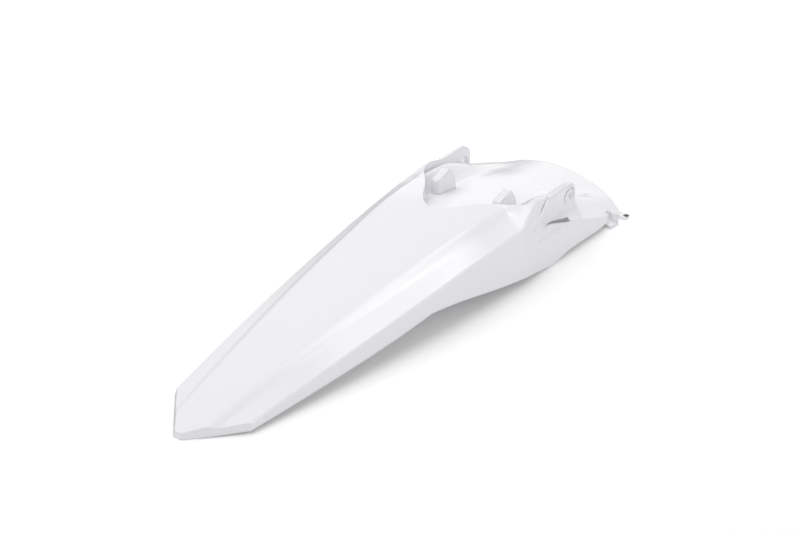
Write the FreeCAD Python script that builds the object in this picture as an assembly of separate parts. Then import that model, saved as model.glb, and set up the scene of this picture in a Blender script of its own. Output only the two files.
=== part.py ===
import FreeCAD, Part
import math
import os

V = FreeCAD.Vector

# Rear mudguard of an off-road motorcycle, one moulding, glossy and plain.
# Millimetres. X points to the front of the bike, Y to its left side, Z up.
# It is drawn as it lies on a bench, the bench at z = 0, with x counted from the tail point.

# Wall, and how the section corners are drawn: under the first size they are broken once,
# under the second twice, above it they are a smooth bend
wall = 2.6
narrow_bend = 2.8
wide_bend = 10.0

# Stations along the length
tail_tip_x = 3.0
tail_corner_x = 50.0
notch_x = 372.0
flare_end_x = 421.0
deck_corner_x = 455.0
ear_front_x = 529.0
front_x = 606.0

# Two stations on the front guard, as shares of the way from the ears to the front edge
guard_early = 31.0 / 77.0
guard_late = 56.0 / 77.0

# Tail point seen from above at the height of its edge, and the draft of the lip under it
tip_half_width = 3.5
lip_z = 10.0
lip_draft = 0.30

# Crest, the crease between deck and side skirt
crest_half_width = 81.2
crest_height = 60.0
crest_spread = 0.0566
crest_spread_bow = 9.4e-5
crest_rise = 0.1009
crest_rise_bow = 8.8e-5
corner_half_width = 71.5
corner_height = 74.0

# Deck centre line and its raised middle panel
deck_height = 82.7
deck_slope = 0.1327
deck_bow = 1.98e-4
panel_half_width = 18.7
panel_spread = 0.0895
panel_crown = 1.5
panel_crown_front = 6.0
step_height = 4.5
step_height_mid = 9.0
step_width = 5.0
step_width_mid = 10.0

# Side skirts
skirt_half_width = 87.5
skirt_lean = 0.12
front_lean = 0.145
front_tuck = 5.5
skirt_low_z = -30.0

# Lower edge of the skirts
lip_edge_height = 3.4
kink_x = 281.0
kink_height = 25.4
foot_x = 467.0
front_edge_height = 4.4

# Ears that carry the bolts
ear_half_width = 69.6
ear_height = 70.3
ear_rear_height = 69.6
ear_base_height = 44.0
ear_inner_half_width = 66.4
ear_round = 12.0
rim_width = 3.0
rim_proud = 2.0
hole_x = 519.5
hole_z = 54.2
hole_diameter = 8.5
ring_diameter = 16.5
ring_proud = 1.4
bead_radius = 1.3

# Scoop under each ear with its slot
scoop_half_width = 82.6
scoop_height = 34.0
slot_rear_x = 461.0
slot_front_x = 507.0
slot_height = 44.0
slot_drop = 6.5
slot_width = 4.0

# Seat recess and inner guard
floor_front_height = 38.5
floor_slope = 0.143
ledge_height = 75.0
ledge_front_height = 17.5
ledge_slope = 0.42
cheek_half_width = 44.0
ledge_half_width = 60.0
guard_edge_height = 2.0
guard_edge_slope = 0.33

# Hooks beside the notch
hook_x = 431.0
hook_length = 29.0
hook_half_gap = 35.0
hook_width = 9.0
hook_top = 81.0

# Curled-out flange and blade at each front corner
flange_back = 20.0
flange_length = 14.0
flange_height = 13.0
flange_reach = 10.0
blade_back = 8.0
blade_reach = 11.0
blade_length = 9.0
blade_thickness = 2.6

flange_x = front_x - flange_back
blade_x = front_x - blade_back

# The part is moved so that x = 0 is the middle of its length
tail_end_x = tail_tip_x - lip_draft * lip_z
middle_x = 0.5 * (tail_end_x + blade_x + blade_length)


def ease(x, start, end):
    """0 before start, 1 after end, smooth between"""
    share = min(1.0, max(0.0, (x - start) / (end - start)))
    return share * share * (3.0 - 2.0 * share)


def guard_x(share):
    return ear_front_x + share * (front_x - ear_front_x)


def skirt_y(x, z):
    """half width of the skirt in front of the flare at height z"""
    return skirt_half_width - front_lean * z - front_tuck * ease(x, guard_x(guard_early), front_x)


def crest_at(x):
    back = flare_end_x - x
    y = crest_half_width - crest_spread * back - crest_spread_bow * back * back
    z = crest_height - crest_rise * back - crest_rise_bow * back * back
    return y, z


def deck_centre(x):
    back = notch_x - x
    if back < 0:
        return deck_height + 1.3
    return deck_height - deck_slope * back - deck_bow * back * back


def deck_section(x):
    """outer corners of the tail and deck, skirt to centre: (y, z, softness)"""
    crest_y, crest_z = crest_at(x)
    centre = deck_centre(x)
    panel_y = panel_half_width + panel_spread * x
    crown = panel_crown + panel_crown_front * (x / flare_end_x) ** 2
    mid = ease(x, 60.0, 290.0) - ease(x, 320.0, 470.0)
    step_y = step_width + (step_width_mid - step_width) * mid
    step_z = step_height + (step_height_mid - step_height) * mid
    base_z = crest_z - 13.0
    scoop_z = crest_z - 26.0
    return [
        (crest_y + skirt_lean * (crest_z - skirt_low_z), skirt_low_z, 0.0),
        (crest_y + skirt_lean * (crest_z - scoop_z), scoop_z, 1.5),
        (crest_y + skirt_lean * (crest_z - base_z), base_z, 2.5),
        (crest_y, crest_z, 1.6),
        (panel_y + step_y, centre - crown - step_z, 3.5),
        (panel_y, centre - crown, 3.0),
        (0.0, centre, 0.7 * panel_y),
    ]


def ear_section(x, top, base, scoop):
    """outer corners where the side wall runs up to the ear; the middle is cut away later"""
    top_y, top_z = top
    centre = deck_height
    rise = centre - top_z
    return [
        (skirt_y(x, skirt_low_z), skirt_low_z, 0.0),
        (scoop[0], scoop[1], 1.5),
        (base[0], base[1], 2.5),
        (top_y, top_z, 1.6),
        (top_y - 10.0, top_z + 0.3 * rise, 3.5),
        (top_y - 20.0, top_z + 0.6 * rise, 3.0),
        (0.0, centre, 0.7 * (top_y - 20.0)),
    ]


def between(a, b, share):
    return (a[0] + (b[0] - a[0]) * share, a[1] + (b[1] - a[1]) * share)


def hull_sections():
    """outer skin, tail to front: list of (x, corners)"""
    rows = []
    for x in (-12.0, 50.0, 134.0, 215.0, 300.0, notch_x, flare_end_x - 9.0, flare_end_x):
        rows.append((x, deck_section(x)))
    crest = (crest_half_width, crest_height)
    corner = (corner_half_width, corner_height)
    ear_rear = (ear_half_width, ear_rear_height)
    ear_top = (ear_half_width, ear_height)
    scoop = (scoop_half_width, scoop_height)
    base = (ear_half_width + 1.0, ear_base_height)
    rear_base = (crest_half_width + skirt_lean * 13.0, crest_height - 13.0)
    corner_base = (78.0, 50.0)
    rear_scoop = (crest_half_width + skirt_lean * 26.0, crest_height - 26.0)
    near = flare_end_x + 8.0
    share = 8.0 / (deck_corner_x - flare_end_x)
    rows.append((near, ear_section(near, between(crest, corner, share),
                                   between(rear_base, corner_base, share),
                                   between(rear_scoop, scoop, share))))
    near = deck_corner_x - 6.0
    share = 1.0 - 6.0 / (deck_corner_x - flare_end_x)
    rows.append((near, ear_section(near, between(crest, corner, share),
                                   between(rear_base, corner_base, share),
                                   between(rear_scoop, scoop, share))))
    rows.append((deck_corner_x, ear_section(deck_corner_x, corner, corner_base, scoop)))
    rows.append((480.0, ear_section(480.0, ear_rear, base, scoop)))
    rows.append((slot_front_x, ear_section(slot_front_x, ear_top, base, scoop)))
    shoulder = (skirt_y(ear_front_x, 38.0), 38.0)
    under = (skirt_y(ear_front_x, 27.0), 27.0)
    rows.append((ear_front_x, ear_section(ear_front_x, ear_top, between(base, shoulder, 0.15), under)))
    for x in (guard_x(guard_early), guard_x(guard_late), front_x + 10.0):
        under = (skirt_y(x, 20.0), 20.0)
        shoulder = (skirt_y(x, 34.0), 34.0)
        rows.append((x, ear_section(x, ear_top, shoulder, under)))
    return rows


def floor_section(x):
    """corners of the recess floor and inner guard, outside edge to centre"""
    back = front_x - x
    centre = floor_front_height + floor_slope * back
    cheek_y = cheek_half_width + 4.0 * ease(x, 430.0, 560.0)
    cheek_z = centre - 6.5 - 5.5 * ease(x, 510.0, 570.0)
    ledge_y = ledge_half_width + 8.0 * ease(x, 480.0, front_x)
    ledge_z = min(ledge_height, ledge_front_height + ledge_slope * back)
    crease_z = min(scoop_height, guard_edge_height + guard_edge_slope * back)
    crease_y = skirt_y(x, crease_z)
    return [
        (crease_y + 28.0, crease_z - 24.0, 0.0),
        (crease_y - 1.5, crease_z + 1.0, 3.0),
        (ledge_y, ledge_z, 6.0),
        (cheek_y, cheek_z, 6.0),
        (0.0, centre, 0.7 * cheek_y),
    ]


def floor_sections():
    places = [340.0, 430.0, 480.0, ear_front_x - 19.0, ear_front_x + 6.0]
    places += [guard_x(guard_early), guard_x(guard_late), front_x + 12.0]
    return [(x, floor_section(x)) for x in places]


def offset_corners(corners, distance):
    """move an open run of corners sideways by the wall"""
    lines = []
    for i in range(len(corners) - 1):
        y0, z0, s0 = corners[i]
        y1, z1, s1 = corners[i + 1]
        length = math.hypot(y1 - y0, z1 - z0)
        ny = -(z1 - z0) / length
        nz = (y1 - y0) / length
        lines.append((y0 + ny * distance, z0 + nz * distance, y1 - y0, z1 - z0))
    y0, z0, dy, dz = lines[0]
    share = (corners[0][1] - z0) / dz
    moved = [(y0 + share * dy, z0 + share * dz, corners[0][2])]
    for i in range(1, len(corners) - 1):
        ay, az, ady, adz = lines[i - 1]
        by, bz, bdy, bdz = lines[i]
        cross = ady * bdz - adz * bdy
        if abs(cross) < 1e-3:
            moved.append((by, bz, corners[i][2]))
        else:
            share = ((by - ay) * bdz - (bz - az) * bdy) / cross
            moved.append((ay + share * ady, az + share * adz, corners[i][2]))
    y0, z0, dy, dz = lines[-1]
    share = -y0 / dy
    moved.append((0.0, z0 + share * dz, corners[-1][2]))
    return moved


def plain(corners):
    """the same corners, sharp but for the wide bend in the middle"""
    return [(y, z, soft if soft >= wide_bend else 0.0) for y, z, soft in corners]


def strips_of(x, corners, close_z):
    """pole runs of one closed section: straight pieces, with the corners broken or bent"""
    right = [(V(x, y, z), s) for y, z, s in corners]
    left = [(V(x, -y, z), s) for y, z, s in reversed(corners[:-1])]
    run = right + left
    strips = []
    start = run[0][0]
    for i in range(1, len(run) - 1):
        corner, soft = run[i]
        if soft == 0.0:
            strips.append([start, corner])
            start = corner
            continue
        a = corner + (run[i - 1][0] - corner).normalize() * soft
        b = corner + (run[i + 1][0] - corner).normalize() * soft
        strips.append([start, a])
        if soft < narrow_bend:
            strips.append([a, b])
        elif soft < wide_bend:
            middle = (a + b) * 0.25 + corner * 0.5
            strips.append([a, middle])
            strips.append([middle, b])
        else:
            strips.append([a, corner, b])
        start = b
    last = run[-1][0]
    first = run[0][0]
    strips.append([start, last])
    if abs(close_z - first.z) < 1e-6:
        strips.append([last, first])
    else:
        up_left = V(x, last.y, close_z)
        up_right = V(x, first.y, close_z)
        strips.append([last, up_left])
        strips.append([up_left, up_right])
        strips.append([up_right, first])
    return strips


def flow(values, places):
    """poles of a smooth cubic run through the given points"""
    count = len(values)
    slopes = []
    for i in range(count - 1):
        slopes.append((values[i + 1] - values[i]) * (1.0 / (places[i + 1] - places[i])))
    tangents = [slopes[0]]
    for i in range(1, count - 1):
        before = places[i] - places[i - 1]
        after = places[i + 1] - places[i]
        tangents.append((slopes[i - 1] * after + slopes[i] * before) * (1.0 / (before + after)))
    tangents.append(slopes[-1])
    poles = [values[0]]
    for i in range(count - 1):
        third = (places[i + 1] - places[i]) / 3.0
        poles.append(values[i] + tangents[i] * third)
        poles.append(values[i + 1] - tangents[i + 1] * third)
    poles.append(values[-1])
    return poles


def skin_solid(rows, distance, close_z):
    """closed solid whose skin runs smoothly through the sections, moved in by the distance"""
    if distance != 0.0:
        rows = [(x, plain(offset_corners(corners, distance))) for x, corners in rows]
    places = [x for x, corners in rows]
    sections = [strips_of(x, corners, close_z) for x, corners in rows]
    knots = [4] + [2] * (len(places) - 2) + [4]
    faces = []
    for k in range(len(sections[0])):
        degree = len(sections[0][k]) - 1
        tracks = []
        for j in range(degree + 1):
            tracks.append(flow([section[k][j] for section in sections], places))
        surface = Part.BSplineSurface()
        surface.buildFromPolesMultsKnots(
            tracks, [degree + 1, degree + 1], knots, [0.0, 1.0], places, False, False, degree, 3)
        faces.append(surface.toShape())
    for section in (sections[0], sections[-1]):
        edges = []
        for poles in section:
            curve = Part.BezierCurve()
            curve.setPoles(poles)
            edges.append(curve.toShape())
        faces.append(Part.Face(Part.Wire(edges)))
    shell = Part.makeShell(faces)
    shell.sewShape()
    solid = Part.Solid(Part.Shell(shell.Faces))
    if solid.Volume < 0:
        solid.reverse()
    return solid


def box(x0, x1, y0, y1, z0, z1):
    return Part.makeBox(x1 - x0, y1 - y0, z1 - z0, V(x0, y0, z0))


def outline(points, rounds):
    """closed wire through points, with some corners rounded: {index: radius}"""
    count = len(points)
    starts = []
    ends = []
    bends = []
    for i in range(count):
        corner = points[i]
        radius = rounds.get(i, 0.0)
        if radius <= 0.0:
            starts.append(corner)
            ends.append(corner)
            bends.append(None)
            continue
        back = (points[i - 1] - corner).normalize()
        ahead = (points[(i + 1) % count] - corner).normalize()
        half = 0.5 * back.getAngle(ahead)
        reach = radius / math.tan(half)
        middle = (back + ahead).normalize()
        centre = corner + middle * (radius / math.sin(half))
        starts.append(corner + back * reach)
        ends.append(corner + ahead * reach)
        bends.append(centre - middle * radius)
    edges = []
    for i in range(count):
        if bends[i] is not None:
            edges.append(Part.Arc(starts[i], bends[i], ends[i]).toShape())
        after = starts[(i + 1) % count]
        if ends[i].distanceToPoint(after) > 1e-6:
            edges.append(Part.makeLine(ends[i], after))
    return Part.Wire(edges)


def side_prism(points, rounds, y0, y1):
    """solid from an outline seen from the side"""
    wire = outline([V(x, y0, z) for x, z in points], rounds)
    return Part.Face(wire).extrude(V(0, y1 - y0, 0))


def mirrored(shape):
    return shape.mirror(V(0, 0, 0), V(0, 1, 0))


def tail_outline(inset, z):
    """plan outline of the pointed tail at one height"""
    corner_y = crest_at(tail_corner_x)[0] + 0.5
    run_x = tail_corner_x - tail_tip_x
    run_y = corner_y - tip_half_width
    shift = inset * math.hypot(run_x, run_y) / run_y
    tip_y = tip_half_width + (inset - shift) * run_y / run_x
    wide = 140.0
    far_x = tail_tip_x + shift + (wide - tip_half_width) * run_x / run_y
    tip_x = tail_tip_x + inset
    end_x = front_x + 60.0
    points = [(tip_x, tip_y), (far_x, wide), (end_x, wide), (end_x, -wide), (far_x, -wide), (tip_x, -tip_y)]
    base = [V(x, y, z) for x, y in points]
    return Part.makePolygon(base + [base[0]])


def tail_tool(inset):
    """keeps what is in front of the drafted tail lip"""
    low = -40.0
    top = lip_z + 12.0
    lower = tail_outline(inset - lip_draft * (lip_z - low), low)
    upper = tail_outline(inset + lip_draft * (top - lip_z), top)
    lip = Part.makeLoft([lower, upper], True, True)
    return lip.fuse(Part.Face(upper).extrude(V(0, 0, 80)))


def recess_plan(grow):
    """seen from above: curved notch in the deck, gap between the ears, open front"""
    half = ear_inner_half_width + grow
    ear_end = ear_front_x - grow
    wide = 150.0
    low = -60.0
    nose = V(notch_x - grow, 0, low)
    bend = V(notch_x + 27.0 - 0.7 * grow, 29.0 + 0.7 * grow, low)
    side = V(notch_x + 57.0 - 0.6 * grow, 51.0 + 0.8 * grow, low)
    meet = V(notch_x + 77.0, half, low)
    curve = Part.BSplineCurve()
    curve.interpolate([nose, bend, side, meet], InitialTangent=V(0.25, 1, 0), FinalTangent=V(1, 0.45, 0))
    left = curve.toShape()
    corners = [
        meet,
        V(ear_end, half, low),
        V(ear_end, wide, low),
        V(front_x + 80.0, wide, low),
        V(front_x + 80.0, -wide, low),
        V(ear_end, -wide, low),
        V(ear_end, -half, low),
        V(meet.x, -half, low),
    ]
    edges = [left]
    for i in range(len(corners) - 1):
        edges.append(Part.makeLine(corners[i], corners[i + 1]))
    edges.append(mirrored(left))
    return Part.Face(Part.Wire(Part.__sortEdges__(edges))).extrude(V(0, 0, 260))


def below_skirts():
    """everything under the lower edge of the skirts"""
    rear = Part.BSplineCurve()
    rear.interpolate([V(50, 0, lip_edge_height), V(130, 0, 9.8), V(202, 0, 16.0), V(kink_x, 0, kink_height)])
    fore = Part.BSplineCurve()
    fore.interpolate([V(kink_x, 0, kink_height), V(329, 0, 20.2), V(384, 0, 11.2), V(432, 0, 5.2),
                      V(foot_x - 4, 0, 0.4)])
    corners = [
        V(foot_x - 4, 0, 0.4),
        V(foot_x + 3, 0, 0.0),
        V(foot_x + 31, 0, front_edge_height),
        V(flange_x - 16, 0, front_edge_height),
        V(flange_x - 6, 0, 0.0),
        V(front_x + 80, 0, 0.0),
        V(front_x + 80, 0, -80),
        V(-40, 0, -80),
        V(-40, 0, 0.0),
        V(12, 0, 0.0),
        V(50, 0, lip_edge_height),
    ]
    edges = [rear.toShape(), fore.toShape()]
    for i in range(len(corners) - 1):
        edges.append(Part.makeLine(corners[i], corners[i + 1]))
    face = Part.Face(Part.Wire(edges))
    face.translate(V(0, -150, 0))
    return face.extrude(V(0, 300, 0))


def ear_filling():
    """solid root of the ears above the slot, kept out of the hollow"""
    points = [(452, 46), (slot_front_x, 39.5), (ear_front_x + 6, 36), (ear_front_x + 6, 90), (452, 90)]
    return side_prism(points, {}, 60.0, 100.0)


def slot():
    """wedge-shaped slot right under the lip at the foot of the ear"""
    points = [(slot_rear_x, slot_height), (slot_front_x, slot_height - slot_drop - slot_width),
              (slot_front_x, slot_height - slot_drop)]
    return side_prism(points, {}, 60.0, 100.0)


def ear_corner_cut():
    """what is taken off the round front corner of the ear"""
    far = ear_front_x + 20.0
    top = 90.0
    start = ear_front_x - ear_round
    foot = ear_height - ear_round
    corner = side_prism([(start, foot), (far, foot), (far, top), (start, top)], {}, 60.0, 80.0)
    disc = Part.makeCylinder(ear_round, 40.0, V(start, 50, foot), V(0, 1, 0))
    return corner.cut(disc)


def ear_rim():
    """raised rim along the top and front edge of the ear"""
    rear = 480.0
    foot = 40.0
    front = ear_front_x - rim_width
    points = [(rear, ear_rear_height), (ear_front_x, ear_height), (ear_front_x, foot), (front, foot),
              (front, ear_height - rim_width), (rear, ear_rear_height - rim_width)]
    rounds = {1: ear_round, 4: ear_round - rim_width}
    return side_prism(points, rounds, ear_inner_half_width, ear_half_width + rim_proud)


def ring():
    centre = V(hole_x, ear_half_width - 0.5, hole_z)
    return Part.makeCylinder(ring_diameter / 2, ring_proud + 0.5, centre, V(0, 1, 0))


def bead():
    """raised line between the flared corner and the rim of the ear"""
    low = V(443.5, 78.9, 48.5)
    high = V(481.0, ear_half_width + 0.8, ear_rear_height - 1.8)
    return Part.makeCylinder(bead_radius, (high - low).Length, low, high - low)


def hole():
    return Part.makeCylinder(hole_diameter / 2, 60.0, V(hole_x, 50, hole_z), V(0, 1, 0))


def hook():
    """humped hook that stands on the recess floor beside the notch"""
    rear = hook_x
    front = hook_x + hook_length
    low = 50.0
    points = [(rear, low), (front + 3, low), (front, hook_top - 14), (front - 8, hook_top), (rear, hook_top - 7)]
    return side_prism(points, {2: 3.0, 3: 4.0, 4: 3.0}, hook_half_gap, hook_half_gap + hook_width)


def front_corner():
    """skirt edge curled outwards into a short flange, its end tab, and the small blade in front"""
    wall_y = skirt_y(flange_x, flange_height)
    curl_y = wall_y + flange_reach
    curl_z = wall + flange_reach
    half = math.sqrt(0.5)
    profile = []
    for radius in (flange_reach, flange_reach + wall):
        profile.append([
            V(0, curl_y - radius, curl_z),
            V(0, curl_y - radius * half, curl_z - radius * half),
            V(0, curl_y, curl_z - radius),
        ])
    inner, outer = profile
    wire = Part.Wire([
        Part.Arc(*inner).toShape(),
        Part.makeLine(inner[2], outer[2]),
        Part.Arc(outer[2], outer[1], outer[0]).toShape(),
        Part.makeLine(outer[0], inner[0]),
    ])
    curl = Part.Face(wire).extrude(V(flange_length, 0, 0))
    curl.translate(V(flange_x - flange_length, 0, 0))
    tab = box(flange_x - wall, flange_x, wall_y - wall, curl_y, wall, flange_height)
    blade_y = skirt_y(blade_x, 0.0) - wall
    blade = box(blade_x, blade_x + blade_length, blade_y, blade_y + wall + blade_reach, 0.0, blade_thickness)
    return curl.fuse(tab).fuse(blade)


def rear_fender():
    skin = skin_solid(hull_sections(), 0.0, skirt_low_z)
    core = skin_solid(hull_sections(), wall, skirt_low_z)
    recess = skin_solid(floor_sections(), 0.0, 180.0).common(recess_plan(0.0))
    recess_core = skin_solid(floor_sections(), wall, 180.0).common(recess_plan(wall))
    outer = skin.common(tail_tool(0.0)).cut(recess)
    inner = core.common(tail_tool(wall)).cut(recess_core)
    inner = inner.cut(ear_filling()).cut(mirrored(ear_filling()))
    outer = outer.cut(ear_corner_cut()).cut(mirrored(ear_corner_cut()))
    body = outer.cut(inner)
    body = body.common(box(-40.0, front_x, -150.0, 150.0, -60.0, 150.0)).cut(below_skirts())
    for extra in (ear_rim(), ring(), bead(), hook().cut(inner), front_corner()):
        body = body.fuse(extra).fuse(mirrored(extra))
    for tool in (slot(), hole()):
        body = body.cut(tool).cut(mirrored(tool))
    body.translate(V(-middle_x, 0, 0))
    return body


os.makedirs("parts", exist_ok=True)
rear_fender().exportStep("parts/rear_fender.step")
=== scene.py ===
import math
import bpy
from mathutils import Matrix, Vector


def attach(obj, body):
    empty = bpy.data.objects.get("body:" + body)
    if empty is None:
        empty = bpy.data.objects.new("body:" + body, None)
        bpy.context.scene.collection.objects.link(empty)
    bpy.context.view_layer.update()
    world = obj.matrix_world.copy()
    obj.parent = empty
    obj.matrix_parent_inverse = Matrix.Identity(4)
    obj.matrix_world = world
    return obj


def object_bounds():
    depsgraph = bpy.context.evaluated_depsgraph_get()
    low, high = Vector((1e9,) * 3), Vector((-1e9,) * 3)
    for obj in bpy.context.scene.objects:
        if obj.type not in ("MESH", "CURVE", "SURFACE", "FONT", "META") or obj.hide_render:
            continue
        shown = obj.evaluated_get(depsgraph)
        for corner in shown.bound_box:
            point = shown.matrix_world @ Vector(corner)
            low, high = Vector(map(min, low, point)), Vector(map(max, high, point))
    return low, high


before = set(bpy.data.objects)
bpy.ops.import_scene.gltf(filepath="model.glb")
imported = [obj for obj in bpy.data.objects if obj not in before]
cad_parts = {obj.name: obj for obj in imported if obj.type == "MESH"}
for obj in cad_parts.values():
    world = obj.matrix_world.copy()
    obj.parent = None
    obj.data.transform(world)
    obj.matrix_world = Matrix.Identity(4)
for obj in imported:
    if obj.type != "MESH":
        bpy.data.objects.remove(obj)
cadLow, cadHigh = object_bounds()
scene = bpy.context.scene
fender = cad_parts["rear_fender"]
print("frame loaded:", fender.name)

mm = 0.001


def linear(hexColour):
    # sRGB hex to the linear colour that the shaders take
    channels = [int(hexColour[i:i + 2], 16) / 255 for i in (0, 2, 4)]
    return [c / 12.92 if c <= 0.04045 else ((c + 0.055) / 1.055) ** 2.4 for c in channels] + [1.0]


def addNode(tree, kind, settings=None, values=None, links=None):
    # settings are the node's own fields, values go on its inputs, links come from other nodes.
    # An input goes by its name, or by its number where several inputs share a name.
    node = tree.nodes.new(kind)
    for name, value in (settings or {}).items():
        setattr(node, name, value)
    for name, value in (values or {}).items():
        node.inputs[name].default_value = value
    for name, source in (links or {}).items():
        tree.links.new(source, node.inputs[name])
    return node


def newMaterial(name):
    material = bpy.data.materials.new(name)
    material.use_nodes = True
    material.node_tree.nodes.clear()
    return material


def addObject(name, data):
    added = bpy.data.objects.new(name, data)
    scene.collection.objects.link(added)
    return added


# Moulded gloss polypropylene: white all the way through, with a clear but slightly soft shine
gloss = {
    "colour": "f2f1f4",
    "colourDeep": "efeef2",     # a trace cooler and darker, in slow patches along the moulding
    "ior": 1.49,
    "roughness": 0.20,
    "roughnessSpread": 0.06,    # the tool's polish isn't even
    "patchSize": 60 * mm,
    "patchDetail": 3.0,
    "ripple": 0.02 * mm,        # slow waviness that breaks up long reflections
    "rippleSize": 22 * mm,
    "rippleDetail": 1.0,
    "edgeRadius": 1.4 * mm,     # every moulded edge is a little round
    "edgeSamples": 6,
    "creaseAngle": 0.14,        # radians, and what bends more than this keeps its crease
}


def mouldedGloss(look):
    material = newMaterial("moulded_gloss_polypropylene")
    tree = material.node_tree
    place = addNode(tree, "ShaderNodeTexCoord").outputs["Object"]
    patches = addNode(tree, "ShaderNodeTexNoise", None,
                      {"Scale": 1 / look["patchSize"], "Detail": look["patchDetail"]}, {"Vector": place})
    waves = addNode(tree, "ShaderNodeTexNoise", None,
                    {"Scale": 1 / look["rippleSize"], "Detail": look["rippleDetail"]}, {"Vector": place})
    colour = addNode(tree, "ShaderNodeMix", {"data_type": "RGBA"},
                     {6: linear(look["colour"]), 7: linear(look["colourDeep"])},
                     {"Factor": patches.outputs["Fac"]})
    polish = addNode(tree, "ShaderNodeMapRange", None,
                     {"To Min": look["roughness"] - look["roughnessSpread"] / 2,
                      "To Max": look["roughness"] + look["roughnessSpread"] / 2},
                     {"Value": patches.outputs["Fac"]})
    edge = addNode(tree, "ShaderNodeBevel", {"samples": look["edgeSamples"]}, {"Radius": look["edgeRadius"]})
    bump = addNode(tree, "ShaderNodeBump", None, {"Distance": look["ripple"]},
                   {"Height": waves.outputs["Fac"], "Normal": edge.outputs["Normal"]})
    plastic = addNode(tree, "ShaderNodeBsdfPrincipled", None, {"IOR": look["ior"]},
                      {"Base Color": colour.outputs[2], "Roughness": polish.outputs["Result"],
                       "Normal": bump.outputs["Normal"]})
    addNode(tree, "ShaderNodeOutputMaterial", None, None, {"Surface": plastic.outputs["BSDF"]})
    return material


plasticWhite = mouldedGloss(gloss)
fender.data.materials.clear()
fender.data.materials.append(plasticWhite)
fender.data.shade_smooth()
fender.data.set_sharp_from_angle(angle=gloss["creaseAngle"])
print("fender finished")


def rideAlong(name, verts, faces, material):
    # a closed piece in the fender's own frame, which goes where the fender goes
    mesh = bpy.data.meshes.new(name)
    mesh.from_pydata([tuple(v) for v in verts], [], faces)
    mesh.shade_smooth()
    mesh.materials.append(material)
    piece = addObject(name, mesh)
    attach(piece, "root")
    return piece


def ring(sides):
    # cosine and sine of each corner of a round section
    turns = [2 * math.pi * k / sides for k in range(sides)]
    return [(math.cos(turn), math.sin(turn)) for turn in turns]


def bands(rings, sides, start=0):
    # the quads that join each ring of corners to the next, counted from the corner called start
    quads = []
    for first in range(start, start + (rings - 1) * sides, sides):
        for k in range(sides):
            after = (k + 1) % sides
            quads.append((first + k, first + sides + k, first + sides + after, first + after))
    return quads


# Painted shade: a matt dark grey pad on the outer end of each front blade stands for the shade there, with a
# fine grain
tip = {
    "colour": "56565a",
    "roughness": 0.5,
    "grainSize": 1.11 * mm,     # drawn coarser than the real grain, so that it shows
    "grainDetail": 2.0,
    "grainStrength": 0.3,
    "grainDepth": 0.05 * mm,
    "length": 5.65 * mm,
    "width": 4.8 * mm,
    "height": 2.8 * mm,     # the blade is 2.6 mm thick
    "back": 0.1 * mm,       # from the fender's front end
    "inward": 0.14 * mm,    # from its widest point
    "lift": 0.05 * mm,      # from the bench
}


def paintedShadeGrey(look):
    # a matt dark grey, painted shade for the pads on the blades' ends
    material = newMaterial("painted_shade_grey")
    tree = material.node_tree
    place = addNode(tree, "ShaderNodeTexCoord").outputs["Object"]
    grain = addNode(tree, "ShaderNodeTexNoise", None,
                    {"Scale": 1 / look["grainSize"], "Detail": look["grainDetail"]}, {"Vector": place})
    bump = addNode(tree, "ShaderNodeBump", None,
                   {"Strength": look["grainStrength"], "Distance": look["grainDepth"]},
                   {"Height": grain.outputs["Fac"]})
    plastic = addNode(tree, "ShaderNodeBsdfPrincipled", None,
                      {"Base Color": linear(look["colour"]), "Roughness": look["roughness"]},
                      {"Normal": bump.outputs["Normal"]})
    addNode(tree, "ShaderNodeOutputMaterial", None, None, {"Surface": plastic.outputs["BSDF"]})
    return material


def cornerShadePad(name, flip, look, material):
    # a closed pad of painted shade on the outer end of the blade: it stands proud of the blade's top, and
    # its front and outer sides lie just inside the blade's
    front = cadHigh[0] - look["back"]
    side = cadHigh[1] - look["inward"]
    xs = (front - look["length"], front)
    ys = sorted((flip * (side - look["width"]), flip * side))
    zs = (look["lift"], look["lift"] + look["height"])
    verts = [(x, y, z) for x in xs for y in ys for z in zs]
    faces = [(0, 1, 3, 2), (4, 6, 7, 5), (0, 4, 5, 1), (2, 3, 7, 6), (1, 5, 7, 3), (0, 2, 6, 4)]
    piece = rideAlong(name, verts, faces, material)
    piece.data.shade_flat()


# Thin rolled lip under each slot, of the fender's own plastic. Path and radii are in mm.
lip = {
    "path": [(143, 82.7, 35.0), (148, 82.6, 34.3), (153.5, 82.6, 33.7), (160, 82.4, 33.2),
             (172.5, 82.3, 33.0), (184.5, 82.5, 32.7), (194, 82.6, 32.4), (198, 82.4, 32.2)],
    "radii": [0.3, 0.9, 1.3, 1.6, 1.7, 1.7, 1.5, 0.5],
    "sides": 10,
}


def scoopLip(name, flip, look, material):
    # a round bead along the path, closed at both ends
    points = [Vector((x, flip * y, z)) * mm for x, y, z in look["path"]]
    sides = look["sides"]
    verts = []
    for i, point in enumerate(points):
        along = (points[min(i + 1, len(points) - 1)] - points[max(i - 1, 0)]).normalized()
        across = along.cross(Vector((0, 0, 1))).normalized()
        upward = across.cross(along)
        verts += [point + (across * c + upward * s) * look["radii"][i] * mm for c, s in ring(sides)]
    faces = bands(len(points), sides)
    faces.append(tuple(range(sides)))
    faces.append(tuple(reversed(range(len(verts) - sides, len(verts)))))
    rideAlong(name, verts, faces, material)


# Ejector marks: two low rounded buttons, in mm, with their feet sunk in the front guard
pips = {
    "at": [(245.3, -4.2, 42.7), (221.7, -27.2, 45.3)],
    "radius": 1.3,
    "sides": 10,
    "top": 0.8,     # height of the middle, as a share of the radius
    "rings": [(0.6, 0.6), (0.0, 1.0), (-1.0, 1.0)],    # height and width of each ring, as such shares
}


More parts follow.
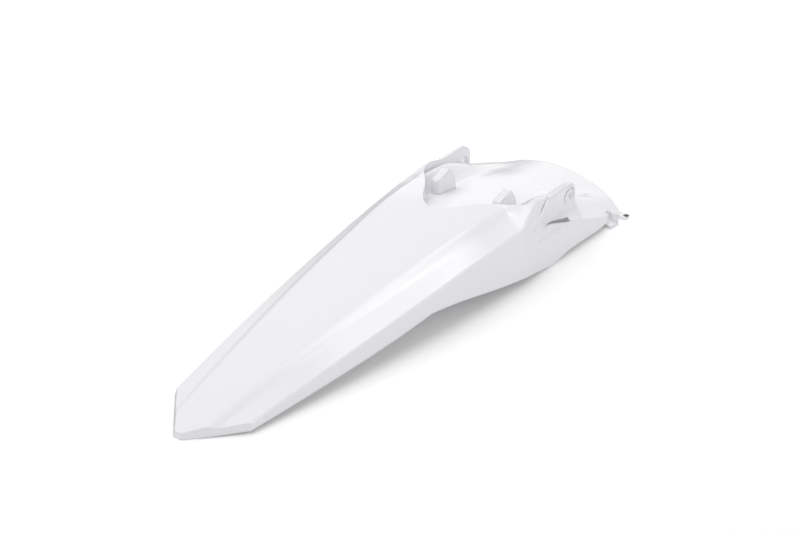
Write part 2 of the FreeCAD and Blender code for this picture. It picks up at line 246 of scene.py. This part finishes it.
def guardPip(name, at, look, material):
    middle = Vector(at)
    sides = look["sides"]
    shape = [Vector((0, 0, look["top"]))]
    for height, width in look["rings"]:
        shape += [Vector((c * width, s * width, height)) for c, s in ring(sides)]
    verts = [(middle + corner * look["radius"]) * mm for corner in shape]
    faces = [(0, 1 + k, 1 + (k + 1) % sides) for k in range(sides)]
    faces += bands(len(look["rings"]), sides, 1)
    faces.append(tuple(reversed(range(len(verts) - sides, len(verts)))))
    rideAlong(name, verts, faces, material)


bothSides = (("right", -1), ("left", 1))
# the dark grey pads on the blades' ends are painted shade
shadeGrey = paintedShadeGrey(tip)
for side, flip in bothSides:
    cornerShadePad("corner_shade_pad_" + side, flip, tip, shadeGrey)
for side, flip in bothSides:
    scoopLip("scoop_lip_" + side, flip, lip, plasticWhite)
for count, at in enumerate(pips["at"], 1):
    guardPip("guard_pip_" + str(count), at, pips, plasticWhite)
print("trim added")


# Sheet of matt white paper under the fender, bright enough to read as plain white around it
sheet = {
    "size": 12.0,
    "colour": "ffffff",
    "glow": 0.06,
    "farGlow": 0.8,     # keeps the sheet white where the lamps don't reach
    "glowFrom": 0.6,    # metres from the middle
    "glowTo": 1.6,
    "mirroredColour": "8f8f94",    # what the gloss sees of it, so that the far edges keep a line
}


def paperSheet(look):
    material = newMaterial("matt_paper")
    tree = material.node_tree
    paper = addNode(tree, "ShaderNodeBsdfDiffuse", None, {"Color": linear(look["colour"])})
    place = addNode(tree, "ShaderNodeTexCoord").outputs["Object"]
    away = addNode(tree, "ShaderNodeVectorMath", {"operation": "LENGTH"}, None, {0: place})
    strength = addNode(tree, "ShaderNodeMapRange", {"interpolation_type": "SMOOTHSTEP"},
                       {"From Min": look["glowFrom"], "From Max": look["glowTo"],
                        "To Min": look["glow"], "To Max": look["farGlow"]}, {"Value": away.outputs["Value"]})
    glow = addNode(tree, "ShaderNodeEmission", None, {"Color": linear(look["colour"])},
                   {"Strength": strength.outputs["Result"]})
    bright = addNode(tree, "ShaderNodeAddShader", None, None, {0: paper.outputs[0], 1: glow.outputs[0]})
    dim = addNode(tree, "ShaderNodeBsdfDiffuse", None, {"Color": linear(look["mirroredColour"])})
    rays = addNode(tree, "ShaderNodeLightPath")
    pick = addNode(tree, "ShaderNodeMixShader", None, None,
                   {"Fac": rays.outputs["Is Glossy Ray"], 1: bright.outputs[0], 2: dim.outputs[0]})
    addNode(tree, "ShaderNodeOutputMaterial", None, None, {"Surface": pick.outputs[0]})

    half = look["size"] / 2
    corners = [(-half, -half, 0), (half, -half, 0), (half, half, 0), (-half, half, 0)]
    mesh = bpy.data.meshes.new("paper_sheet")
    mesh.from_pydata(corners, [], [(0, 1, 2, 3)])
    mesh.materials.append(material)
    return addObject("paper_sheet", mesh)


paperSheet(sheet)


# Even white room light, and the white that the camera sees beyond the sheet
room = {"colour": "ffffff", "strength": 0.52, "seen": 1.0}


def roomLight(look):
    world = bpy.data.worlds.new("studio")
    scene.world = world
    world.use_nodes = True
    tree = world.node_tree
    tree.nodes.clear()
    rays = addNode(tree, "ShaderNodeLightPath")
    light = addNode(tree, "ShaderNodeBackground", None,
                    {"Color": linear(look["colour"]), "Strength": look["strength"]})
    seen = addNode(tree, "ShaderNodeBackground", None,
                   {"Color": linear(look["colour"]), "Strength": look["seen"]})
    pick = addNode(tree, "ShaderNodeMixShader", None, None,
                   {"Fac": rays.outputs["Is Camera Ray"], 1: light.outputs[0], 2: seen.outputs[0]})
    addNode(tree, "ShaderNodeOutputWorld", None, None, {"Surface": pick.outputs[0]})


roomLight(room)


# Soft boxes that light the fender without being mirrored in it. The strongest hangs over it and
# another stands beyond its far side, so the near skirt stays in soft shade. Places and sizes are
# in metres, and every box faces the middle of the bench.
lightingBoxes = {
    "far_top": {"at": (-0.15, 0.45, 1.94), "size": (2.4, 1.0), "watts": 16.3},
    "far_mid": {"at": (0.0, 1.35, 1.60), "size": (2.4, 0.7), "watts": 8.5},
    "near_low": {"at": (1.4, -1.7, 0.8), "size": (1.6, 0.6), "watts": 9.3},    # near skirt and ears
    "tail_low": {"at": (-1.8, -0.9, 0.5), "size": (0.8, 0.6), "watts": 0.8},    # lip of the tail
}

# Soft boxes that the fender mirrors without being lit by them
mirroredBoxes = {
    "backdrop": {"at": (2.4, 0.5, 0.7), "size": (3.5, 1.2), "watts": 9},    # in the recess and the guard
    "slope_sheet": {"at": (0.72, -0.64, 1.80), "size": (1.1, 0.9), "watts": 7.6},    # in the near slope
    "streak": {"at": (0.50, -1.05, 1.37), "size": (0.9, 0.26), "watts": 3.5},    # along the near step
}


def softBox(name, look, mirrored):
    light = bpy.data.lights.new(name, "AREA")
    light.shape = "RECTANGLE"
    light.size, light.size_y = look["size"]
    light.energy = look["watts"]
    lamp = addObject(name, light)
    lamp.location = look["at"]
    lamp.rotation_euler = (-Vector(look["at"])).to_track_quat("-Z", "Y").to_euler()
    lamp.visible_glossy = mirrored
    lamp.visible_diffuse = not mirrored


for name, look in lightingBoxes.items():
    softBox(name, look, False)
for name, look in mirroredBoxes.items():
    softBox(name, look, True)
print("studio lit")


# Camera off the tail's right corner, 30 degrees above the bench
shot = {
    "at": (-1.2767, -1.0309, 0.9891),
    "right": (0.6225, -0.7826, 0.0),
    "up": (0.3913, 0.3113, 0.8660),
    "lens": 85.5,
    "sensor": 36.0,
    "nearest": 0.05,    # metres, and nothing nearer or farther than these shows
    "farthest": 50.0,
}


def photoCamera(look):
    data = bpy.data.cameras.new("camera")
    data.lens = look["lens"]
    data.sensor_width = look["sensor"]
    data.clip_start = look["nearest"]
    data.clip_end = look["farthest"]
    data.dof.use_dof = False
    camera = addObject("camera", data)
    right = Vector(look["right"]).normalized()
    up = Vector(look["up"]).normalized()
    turn = Matrix((right, up, right.cross(up))).transposed()
    camera.matrix_world = Matrix.Translation(look["at"]) @ turn.to_4x4()
    scene.camera = camera


photoCamera(shot)
scene.view_settings.view_transform = "Standard"
print("camera set")
